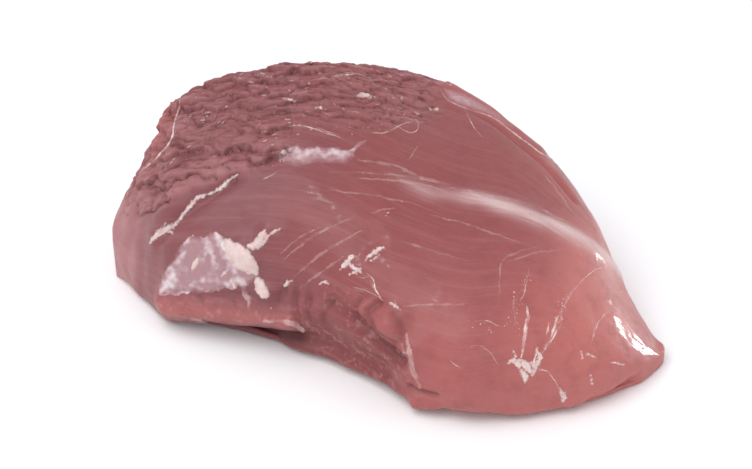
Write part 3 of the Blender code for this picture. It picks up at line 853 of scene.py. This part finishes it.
def make_flesh(settings):
    """The block itself: a sphere whose poles are moved to the two ends, and its points onto the body."""
    rows, columns = settings.slices, settings.points_round
    grid = body_points(rows, columns)
    mesh = bmesh.new()
    bmesh.ops.create_uvsphere(mesh, u_segments=columns, v_segments=rows, radius=1.0)
    labels = []
    for vertex in mesh.verts:
        row = round(math.acos(max(-1.0, min(1.0, vertex.co.z))) / math.pi * rows)
        column = round(math.atan2(vertex.co.y, vertex.co.x) / (2 * math.pi) * columns) % columns
        labels.append((row, column))
        vertex.co = grid[row, column]
    mesh.normal_update()
    bmesh.ops.recalc_face_normals(mesh, faces=mesh.faces)
    mesh.normal_update()
    points = np.array([vertex.co for vertex in mesh.verts])
    outward = np.array([vertex.normal for vertex in mesh.verts])
    zones = torn_zones(points)
    torn = np.clip(sum(zones), 0, 1)
    height, cleft = relief(points, zones)
    small, small_crack_shade = fine_relief(points, torn)
    moved = points + outward * (height + small)[:, None]
    moved[:, 2] = np.maximum(moved[:, 2], 0)
    for vertex, place in zip(mesh.verts, moved):
        vertex.co = place
    # the painted shade of the cracks and grooves goes into the masks
    masks = flesh_masks(points, torn, height + small, 0.9 * cleft + 0.35 * small_crack_shade)

    item = piece("flesh", mesh, flesh_material(settings))
    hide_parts(CAD_NODE)
    for name in MASKS:
        values = item.data.attributes.new(name, "FLOAT", "POINT").data
        values.foreach_set("value", masks[name].astype(np.float32))
    item.data.attributes.new("torn", "FLOAT", "POINT").data.foreach_set("value", torn.astype(np.float32))
    add_grain_map(item.data, labels, grid, columns)


WIDEST_ROUND = 300.0  # about the way round the thickest slice, in millimetres


def add_grain_map(data, labels, grid, columns):
    """A UV map in millimetres along and round the block, on which fibres run together at the tip."""
    along = np.array([grid[row, column][0] for row, column in labels])
    around = np.array([column for _, column in labels], float)
    corner = np.empty(len(data.loops), dtype=np.int64)
    data.loops.foreach_get("vertex_index", corner)
    starts = np.array([face.loop_start for face in data.polygons])
    face_of = np.repeat(np.arange(len(starts)), [face.loop_total for face in data.polygons])
    turns = around[corner]
    wraps = np.maximum.reduceat(turns, starts)[face_of] - turns > columns / 2
    turns = np.where(wraps, turns + columns, turns) * (WIDEST_ROUND / columns)
    layer = data.uv_layers.new(name="grain")
    layer.data.foreach_set("uv", np.column_stack([along[corner], turns]).astype(np.float32).ravel())


# Silverskin

FILM_OUTLINE = [(158, 295), (159, 280), (171, 262), (180, 246), (192, 234), (203, 238), (215, 231), (223, 238),
                (240, 250), (256, 268), (258, 280), (240, 287), (228, 289), (196, 293), (176, 295)]
FILM_WHITE = [[(162, 291, 1.0), (167, 286, 5.0), (173, 278, 5.5), (172, 268, 1.5)],
              [(205, 238, 1.5), (209, 246, 3.0), (214, 258, 2.0), (217, 266, 0.5)],
              [(217, 235, 2.0), (224, 247, 4.5), (231, 260, 3.5), (236, 272, 1.0)],
              [(158, 296, 1.0), (196, 294, 1.4), (232, 290, 1.4)], [(186, 246, 1.0), (190, 236, 1.8)],
              [(176, 262, 0.5), (184, 254, 1.5), (189, 248, 0.5)], [(196, 262, 1.0), (204, 258, 1.6), (207, 250, 0.5)],
              [(228, 284, 1.0), (238, 280, 3.5), (246, 284, 1.5)], [(190, 284, 0.5), (204, 280, 1.2), (218, 282, 0.5)]]
MEMBRANE_OUTLINE = [(277, 160), (283, 149), (292, 146), (310, 147), (332, 146), (348, 149), (355, 153), (352, 159),
                    (340, 164), (318, 163), (300, 166), (286, 164)]
MEMBRANE_TAIL = [[(345, 153, 3.0), (354, 149, 2.4), (359, 145, 2.0), (366, 141, 0.9)]]
MEMBRANE_WHITE = [[(284, 152, 1.0), (292, 150, 2.5), (301, 154, 1.0)], [(296, 158, 0.5), (308, 153, 2.5), (318, 150, 1.0)],
                  [(322, 156, 0.5), (333, 153, 2.0), (342, 156, 1.0)], [(345, 153, 1.0), (354, 149, 1.4)]]
BACK_FILM_OUTLINE = [(443, 88), (456, 91), (478, 101), (497, 114), (512, 128), (500, 122), (484, 115),
                     (468, 110), (454, 105), (446, 98)]
HIDDEN_FILM = [(-52, 57, 40), (-40, 60, 43), (-22, 62, 42), (-6, 63, 38), (-4, 63, 32), (-20, 64, 29),
               (-40, 61, 31), (-52, 57, 33)]


def whitened(pixels, strokes):
    """How white a film is: along the strokes, with soft and cloudy edges."""
    return np.clip(0.36 + inside_strokes(pixels, strokes) / 9 + 0.5 * waves(np.c_[pixels, pixels[:, 0] * 0], 5), 0, 1)


def make_silverskin(settings, stage):
    front = Surface(Sight(stage))
    film = draped(front, lambda p: inside_outline(p, FILM_OUTLINE), ((150, 222), (268, 302)), 0.8, (9, 2.4),
                  dome(0.22, 2.5, 0.9, 4), lambda p: whitened(p, FILM_WHITE))
    membrane = draped(front, lambda p: np.maximum(inside_outline(p, MEMBRANE_OUTLINE),
                                                  inside_strokes(p, MEMBRANE_TAIL)),
                      ((270, 136), (372, 172)), 0.7, (7, 2.4), dome(0.25, 2.5, 0.9, 4),
                      lambda p: whitened(p, MEMBRANE_WHITE))
    back = draped(front, lambda p: inside_outline(p, BACK_FILM_OUTLINE), ((438, 84), (516, 132)), 0.8, (8, 1.0),
                  dome(0.4, 2.5, 0.5, 9))
    behind = Surface(Sight(stage, turned=math.pi))
    outline = [behind.sight.pixel(place) for place in HIDDEN_FILM]
    columns, rows = zip(*outline)
    corners = ((min(columns) - 6, min(rows) - 6), (max(columns) + 6, max(rows) + 6))
    hidden = draped(behind, lambda p: inside_outline(p, outline), corners, 1.0, (10, 2.5), dome(0.5, 2.5, 0.7, 11))
    piece("silverskin", joined([film, membrane, back, hidden]), film_material(settings), clear=True)


# Fat and sinew, each a list of brush strokes of (column, row, half width)

SEAM_STROKES = [[(238, 175, 0.8), (231, 179, 2.0), (221, 188, 2.6), (213, 193, 1.6)],
                [(211, 194, 1.2), (199, 197, 2.4), (191, 205, 2.6), (184, 214, 1.8)],
                [(186, 212, 1.4), (178, 221, 2.6), (173, 227, 2.0)],
                [(176, 224, 1.8), (165, 230, 4.2), (157, 235, 3.2), (151, 242, 1.4)],
                [(166, 222, 1.2), (164, 230, 2.0)], [(168, 229, 1.6), (172, 233, 1.2)]]
FAT_STROKES = [[(227, 240, 2.5), (232, 248, 7.5), (240, 256, 10.5), (249, 265, 8.5), (256, 272, 3.5)],
               [(249, 246, 2.6), (257, 245, 5.0), (263, 237, 4.4), (265, 231, 1.6)],
               [(258, 248, 1.8), (264, 241, 3.0), (271, 234, 1.4), (280, 229, 0.7)],
               [(232, 281, 3.0), (235, 286, 2.2)], [(258, 281, 4.2), (261, 287, 6.2), (265, 294, 4.6)],
               [(285, 285, 1.6), (288, 282, 2.6), (291, 281, 1.6)],
               [(192, 270, 2.0), (195, 265, 2.8), (199, 257, 1.0)], [(222, 275, 1.0), (228, 270, 1.4)]]
FAINT_STROKES = [[(240, 280, 1.2), (245, 292, 3.0), (249, 301, 2.6), (247, 311, 1.0)],
                 [(191, 319, 1.2), (198, 321, 2.6), (206, 322, 1.4)],
                 [(264, 321, 1.0), (280, 321, 2.6), (293, 324, 3.4), (303, 330, 1.8)],
                 [(407, 334, 1.2), (409, 350, 2.8), (413, 368, 3.0), (420, 387, 1.6)],
                 [(402, 342, 1.0), (405, 360, 1.6)]]
SCRAP_STROKES = [[(341, 270, 0.8), (346, 264, 3.0), (352, 257, 2.6), (356, 256, 0.8)],
                 [(347, 262, 1.6), (354, 268, 2.4), (361, 272, 1.8)], [(350, 274, 0.8), (356, 272, 2.0), (361, 268, 1.0)],
                 [(365, 262, 0.8), (370, 256, 2.2), (378, 250, 2.4), (384, 248, 1.0)], [(371, 261, 0.8), (379, 256, 1.4)],
                 [(320, 284, 1.2), (325, 282, 1.8), (329, 284, 1.0)], [(390, 303, 1.0), (395, 306, 1.8), (400, 309, 1.0)],
                 [(508, 363, 1.4), (514, 360, 3.0), (519, 365, 3.2)], [(520, 360, 2.0), (526, 366, 4.2), (531, 371, 2.4)],
                 [(522, 371, 2.6), (525, 376, 3.8), (525, 381, 1.6)], [(531, 363, 1.6), (535, 368, 2.6), (532, 374, 2.0)],
                 [(513, 350, 0.8), (515, 356, 1.8)], [(536, 350, 1.4), (540, 357, 2.6), (536, 365, 2.0)],
                 [(560, 392, 1.6), (564, 397, 3.0), (562, 401, 1.4)],
                 [(560, 388, 0.8), (563, 394, 2.2), (566, 398, 1.4)], [(581, 352, 1.0), (582, 358, 1.2)],
                 [(588, 354, 1.4), (594, 357, 1.0)], [(612, 362, 0.7), (623, 365, 1.0)], [(591, 375, 0.7), (592, 383, 1.0)],
                 [(357, 96, 0.9), (363, 95, 2.4), (371, 97, 1.0)], [(317, 108, 1.4), (321, 108, 1.8)],
                 [(284, 99, 0.8), (295, 101, 1.4)], [(428, 109, 0.8), (437, 110, 1.4)], [(413, 112, 0.7), (419, 114, 1.0)]]
HIDDEN_STROKES = [[(-66, 52, 34, 1.0), (-58, 56, 34, 4.0), (-50, 59, 32, 1.5)],
                  [(-45, 60, 31, 1.0), (-37, 61.5, 29, 5.5), (-28, 62.5, 28, 3.0), (-20, 63, 26, 0.8)],
                  [(-6, 64, 24, 0.8), (4, 64, 22, 3.5), (12, 64, 21, 1.0)],
                  [(24, 63, 20, 0.8), (30, 61, 20, 2.6), (38, 57, 19, 0.8)],
                  [(30, 60, 34, 1.6), (40, 55, 32, 4.5), (46, 48, 30, 2.0)],
                  [(-78, 35, 22, 1.6), (-75, 42, 18, 4.0), (-70, 48, 16, 2.0)]]


def strokes_corners(strokes):
    points = [point for stroke in strokes for point in stroke]
    return ((min(p[0] - p[2] for p in points) - 4, min(p[1] - p[2] for p in points) - 4),
            (max(p[0] + p[2] for p in points) + 4, max(p[1] + p[2] for p in points) + 4))


def brushed(surface, strokes, spacing, ragged, lift):
    """Each stroke as a lump of its own, all in one mesh."""
    return joined([draped(surface, lambda p, one=stroke: inside_strokes(p, [one]), strokes_corners([stroke]),
                          spacing, ragged, lift) for stroke in strokes])


def make_fat(settings, stage):
    front, behind = Surface(Sight(stage)), Surface(Sight(stage, turned=math.pi))
    seam = brushed(front, SEAM_STROKES, 0.6, (3.6, 2.0), dome(0.45, 2.6, 0.7, 4))
    lumps = brushed(front, FAT_STROKES, 0.6, (4, 1.7), dome(1.0, 7.0, 0.45, 6))
    scraps = brushed(front, SCRAP_STROKES, 0.5, (2.6, 1.7), dome(0.5, 2.0, 0.8, 3))
    turned = [[(*behind.sight.pixel(point[:3]), point[3]) for point in stroke] for stroke in HIDDEN_STROKES]
    hidden = brushed(behind, turned, 0.8, (5, 2.4), dome(0.9, 4.5, 0.7, 7))
    piece("fat", joined([seam, lumps, scraps, hidden]), fat_material(settings), clear=True)
    faint = brushed(front, FAINT_STROKES, 0.6, (5, 1.6), dome(0.25, 2.5, 0.8, 4))
    piece("thin_membrane", faint, sinew_material(settings, "membrane_thin", 0.5, settings.fat), clear=True)


# Threads: ([(column, row), ...], half width in pixels, frayed threads beside it)

STRINGS = [([(526, 306), (527, 318), (525, 330), (524, 342), (521, 358)], 1.3, 5),
           ([(526, 318), (525, 332), (523, 346), (521, 358)], 1.9, 2), ([(557, 316), (555, 326), (551, 337)], 1.9, 2),
           ([(549, 322), (548, 330), (546, 335)], 1.2, 1), ([(538, 350), (535, 358), (533, 368)], 1.6, 2),
           ([(529, 268), (527, 280), (524, 292), (520, 304)], 0.6, 3),
           ([(516, 294), (513, 306), (515, 318), (519, 330)], 0.6, 3),
           ([(562, 309), (560, 325), (551, 340), (541, 355), (536, 366)], 0.9, 5),
           ([(573, 290), (566, 301), (561, 312), (556, 322)], 0.8, 3),
           ([(572, 292), (586, 277), (598, 269), (613, 268)], 0.6, 1),
           ([(534, 370), (546, 371), (555, 381), (560, 390), (565, 398)], 0.8, 1),
           ([(474, 322), (485, 321), (492, 323), (503, 328)], 0.7, 1), ([(486, 332), (490, 329), (492, 334)], 0.6, 0),
           ([(470, 347), (480, 346), (490, 353), (500, 368)], 0.6, 1),
           ([(450, 360), (454, 364), (461, 368)], 0.7, 1), ([(613, 307), (600, 320), (595, 331), (591, 343)], 0.7, 1),
           ([(367, 273), (373, 279), (376, 290), (383, 301)], 1.0, 2),
           ([(352, 287), (366, 291), (375, 295), (384, 301)], 0.7, 3),
           ([(357, 276), (364, 278), (369, 276)], 0.5, 1), ([(286, 127), (301, 126), (319, 131), (344, 139)], 0.9, 2),
           ([(409, 159), (414, 152), (420, 145)], 0.6, 0), ([(372, 133), (384, 133), (399, 126), (413, 121)], 0.8, 2),
           ([(399, 127), (410, 133), (418, 129), (416, 120), (406, 119)], 0.7, 1),
           ([(181, 104), (175, 122), (171, 140), (159, 156), (143, 170)], 1.2, 2),
           ([(440, 88), (448, 101), (467, 109), (496, 120), (525, 142), (555, 163), (566, 175)], 0.9, 2),
           ([(465, 110), (473, 126), (483, 138)], 0.6, 1), ([(317, 79), (338, 76), (356, 74), (373, 79)], 0.8, 3),
           ([(302, 112), (304, 118)], 0.7, 0), ([(322, 113), (336, 117)], 0.6, 1), ([(345, 110), (360, 113)], 0.6, 1),
           ([(262, 180), (270, 176), (277, 172)], 0.9, 1)]
MEMBRANE_LINES = [([(282, 261), (300, 246), (319, 233), (355, 216)], 1.9), ([(280, 254), (298, 239), (322, 226)], 1.3),
                  ([(289, 285), (295, 276), (320, 255), (346, 239), (363, 230)], 1.9),
                  ([(299, 289), (320, 273), (344, 256)], 1.9), ([(369, 214), (382, 210), (396, 208)], 1.4),
                  ([(404, 306), (431, 305), (470, 304)], 1.6),
                  ([(358, 160), (380, 163), (399, 167), (418, 176), (450, 185)], 2.1),
                  ([(358, 178), (380, 179), (399, 181), (428, 186), (455, 195)], 1.9),
                  ([(330, 172), (370, 173), (410, 177), (450, 186)], 1.4),
                  ([(450, 188), (480, 196), (520, 209), (560, 223), (600, 249)], 2.2),
                  ([(470, 193), (505, 207), (540, 222), (575, 243), (608, 262)], 2.1),
                  ([(440, 186), (490, 195), (530, 205), (570, 224)], 1.6),
                  ([(395, 240), (430, 250), (470, 262)], 1.4), ([(430, 215), (470, 225), (520, 243)], 1.4),
                  ([(330, 190), (370, 195), (420, 205)], 1.4), ([(500, 300), (500, 270), (508, 256), (540, 246)], 1.3),
                  ([(505, 262), (540, 252), (570, 250)], 1.3), ([(545, 175), (560, 195), (575, 215)], 1.4),
                  ([(565, 178), (580, 200), (597, 225)], 1.4)]
BEADS = [(388, 213), (386, 216), (506, 226), (604, 348), (271, 308), (430, 372)]
BEAD_LINES = [[(527, 268), (524, 290), (519, 305)], [(516, 294), (513, 310), (519, 335)],
              [(562, 300), (560, 325), (545, 350)], [(574, 288), (563, 305), (555, 325)],
              [(472, 324), (490, 330), (505, 326)], [(532, 340), (536, 355), (530, 372)]]


def make_threads(settings, stage):
    front = Surface(Sight(stage))
    draw = random.Random(3)
    threads = []
    for line, half_width, frayed in STRINGS:
        threads.append(ribbon(front, tapered(line, half_width), 0.32, draw.uniform(0, 99)))
        for _ in range(frayed):
            begin = draw.uniform(0, 0.55)
            drift = np.array([draw.uniform(-2.2, 2.2), draw.uniform(-2.2, 2.2)])
            side = [tuple(np.array(point) + drift) for point in line]
            thin = tapered(side, half_width * draw.uniform(0.4, 0.75), begin, begin + draw.uniform(0.25, 0.45))
            threads.append(ribbon(front, thin, 0.24, draw.uniform(0, 99)))
    piece("strings", joined(threads), sinew_material(settings, "sinew_string_white", 1.0, settings.string), clear=True)
    lines = [ribbon(front, tapered(line, half_width), 0.05, draw.uniform(0, 99)) for line, half_width in MEMBRANE_LINES]
    piece("membrane_lines", joined(lines), sinew_material(settings, "sinew_line_faint", 0.26, settings.fat),
          clear=True)


def make_crumbs(settings, stage):
    """Pale crumbs where the grain is torn, on every side, and beads of juice on the smooth front."""
    draw = random.Random(11)
    data = bpy.data.objects["flesh"].data
    torn = np.empty(len(data.vertices), np.float32)
    data.attributes["torn"].data.foreach_get("value", torn)
    choices = [vertex for vertex, share in zip(data.vertices, torn)
               if share > 0.12 and noise.noise(vertex.co / MM / 12) + 0.9 * (vertex.co.z / MM - 50) / 12 > 0.1]
    picked = draw.sample(choices, settings.crumbs)
    places = [(vertex.co / MM, vertex.normal.copy()) for vertex in picked]
    sizes = [0.4 + 1.8 * draw.random() ** 3 for _ in picked]
    material = bpy.data.materials.new("torn_fibre_pale")  # shreds of fibre, a little lighter than the flesh
    material.use_nodes = True
    shader = material.node_tree.nodes["Principled BSDF"]
    shader.inputs["Base Color"].default_value = linear(settings.crumb)
    shader.inputs["Roughness"].default_value = 0.3
    piece("crumbs", scattered_bits(places, sizes, 0.22, 5, 2), material)
    front = Surface(Sight(stage))
    spots = list(BEADS)
    for line in BEAD_LINES:
        spots += [(x + draw.gauss(0, 3.0), y + draw.gauss(0, 3.0)) for x, y in smooth_line(line, 2)]
    met = [front.under(pixel) for pixel in spots]
    sizes = [1.2, 0.7] + [0.25 + 0.55 * draw.random() ** 2 for _ in spots[2:]]
    piece("juice_beads", scattered_bits([hit for hit in met if hit], sizes, 0.6, 9, 2), bead_material())


# The stage

# Lamps: (name, place, size, power, whether it only shows as a reflection in wet places)
LAMPS = [("overhead", (-0.35, -0.35, 0.85), 0.8, 4.5, False), ("window", (0.60, 0.30, 0.04), 0.08, 1.9, True),
         ("sparkle", (-0.25, -0.10, 0.80), 0.07, 0.35, True)]


def make_stage(settings):
    sight = Sight(settings)
    lens = bpy.data.cameras.new("view")
    lens.lens, lens.sensor_width = settings.lens, SENSOR_WIDTH
    lens.shift_x = (PHOTO_WIDTH / 2 - AXIS_COLUMN) / PHOTO_WIDTH
    lens.shift_y = (AXIS_ROW - PHOTO_HEIGHT / 2) / PHOTO_WIDTH
    lens.clip_start = 0.01
    camera = bpy.data.objects.new("view", lens)
    camera.location = sight.eye * MM
    camera.rotation_euler = sight.back.to_track_quat("Z", "Y").to_euler()
    bpy.context.scene.collection.objects.link(camera)
    bpy.context.scene.camera = camera

    mesh = bmesh.new()
    bmesh.ops.create_grid(mesh, x_segments=4, y_segments=4, size=2.0)
    data = bpy.data.meshes.new("floor")
    mesh.to_mesh(data)
    mesh.free()
    material = bpy.data.materials.new("matt_white_board")
    material.use_nodes = True
    shader = material.node_tree.nodes["Principled BSDF"]
    shader.inputs["Base Color"].default_value = linear(settings.floor)
    shader.inputs["Roughness"].default_value = 0.7
    shader.inputs["Specular IOR Level"].default_value = 0.2
    data.materials.append(material)
    floor = bpy.data.objects.new("floor", data)
    bpy.context.scene.collection.objects.link(floor)

    world = bpy.data.worlds.new("soft_room")
    world.use_nodes = True
    room = world.node_tree.nodes["Background"]
    room.inputs["Color"].default_value = linear("#f4f6fa")
    room.inputs["Strength"].default_value = settings.room
    bpy.context.scene.world = world
    for name, place, size, power, only_shine in LAMPS:
        lamp = bpy.data.lights.new(name, "AREA")
        lamp.shape, lamp.size, lamp.energy = "SQUARE", size, power
        light = bpy.data.objects.new(name, lamp)
        light.location = place
        light.visible_diffuse = not only_shine
        light.rotation_euler = Vector(place).to_track_quat("Z", "Y").to_euler()
        bpy.context.scene.collection.objects.link(light)
    bpy.context.scene.view_settings.view_transform = "Standard"


# The add-on

class LAMB_OT_stage(bpy.types.Operator):
    """Make the camera, the pale floor and the soft lights"""
    bl_idname = "lamb.stage"
    bl_label = "Stage"

    def execute(self, context):
        make_stage(context.scene.lamb_stage)
        return {"FINISHED"}


class LAMB_OT_flesh(bpy.types.Operator):
    """Make the block of muscle"""
    bl_idname = "lamb.flesh"
    bl_label = "Flesh"

    def execute(self, context):
        make_flesh(context.scene.lamb_flesh)
        return {"FINISHED"}


class LAMB_OT_silverskin(bpy.types.Operator):
    """Lay the films of silverskin on the flesh"""
    bl_idname = "lamb.silverskin"
    bl_label = "Silverskin"

    def execute(self, context):
        make_silverskin(context.scene.lamb_trimmings, context.scene.lamb_stage)
        return {"FINISHED"}


class LAMB_OT_fat(bpy.types.Operator):
    """Lay the seam, the lumps and the scraps of fat on the flesh"""
    bl_idname = "lamb.fat"
    bl_label = "Fat"

    def execute(self, context):
        make_fat(context.scene.lamb_trimmings, context.scene.lamb_stage)
        return {"FINISHED"}


class LAMB_OT_threads(bpy.types.Operator):
    """Lay the strings and fine lines of sinew on the flesh"""
    bl_idname = "lamb.threads"
    bl_label = "Threads"

    def execute(self, context):
        make_threads(context.scene.lamb_trimmings, context.scene.lamb_stage)
        return {"FINISHED"}


class LAMB_OT_crumbs(bpy.types.Operator):
    """Scatter the crumbs of the torn cut and the beads of juice"""
    bl_idname = "lamb.crumbs"
    bl_label = "Crumbs"

    def execute(self, context):
        make_crumbs(context.scene.lamb_trimmings, context.scene.lamb_stage)
        return {"FINISHED"}


OPERATORS = [LAMB_OT_stage, LAMB_OT_flesh, LAMB_OT_silverskin, LAMB_OT_fat, LAMB_OT_threads, LAMB_OT_crumbs]


class LAMB_PT_panel(bpy.types.Panel):
    bl_label = "Raw lamb"
    bl_idname = "LAMB_PT_panel"
    bl_space_type = "VIEW_3D"
    bl_region_type = "UI"
    bl_category = "Lamb"

    def draw(self, context):
        for operator in OPERATORS:
            self.layout.operator(operator.bl_idname)


def register():
    for group in SETTINGS.values():
        bpy.utils.register_class(group)
    for name, group in SETTINGS.items():
        setattr(bpy.types.Scene, name, PointerProperty(type=group))
    for operator in OPERATORS:
        bpy.utils.register_class(operator)
    bpy.utils.register_class(LAMB_PT_panel)


def unregister():
    bpy.utils.unregister_class(LAMB_PT_panel)
    for operator in reversed(OPERATORS):
        bpy.utils.unregister_class(operator)
    for name in SETTINGS:
        delattr(bpy.types.Scene, name)
    for group in reversed(list(SETTINGS.values())):
        bpy.utils.unregister_class(group)


def main():
    register()
    bpy.ops.lamb.stage()
    bpy.ops.lamb.flesh()
    bpy.ops.lamb.silverskin()
    bpy.ops.lamb.fat()
    bpy.ops.lamb.threads()
    bpy.ops.lamb.crumbs()


if __name__ == "__main__":
    main()
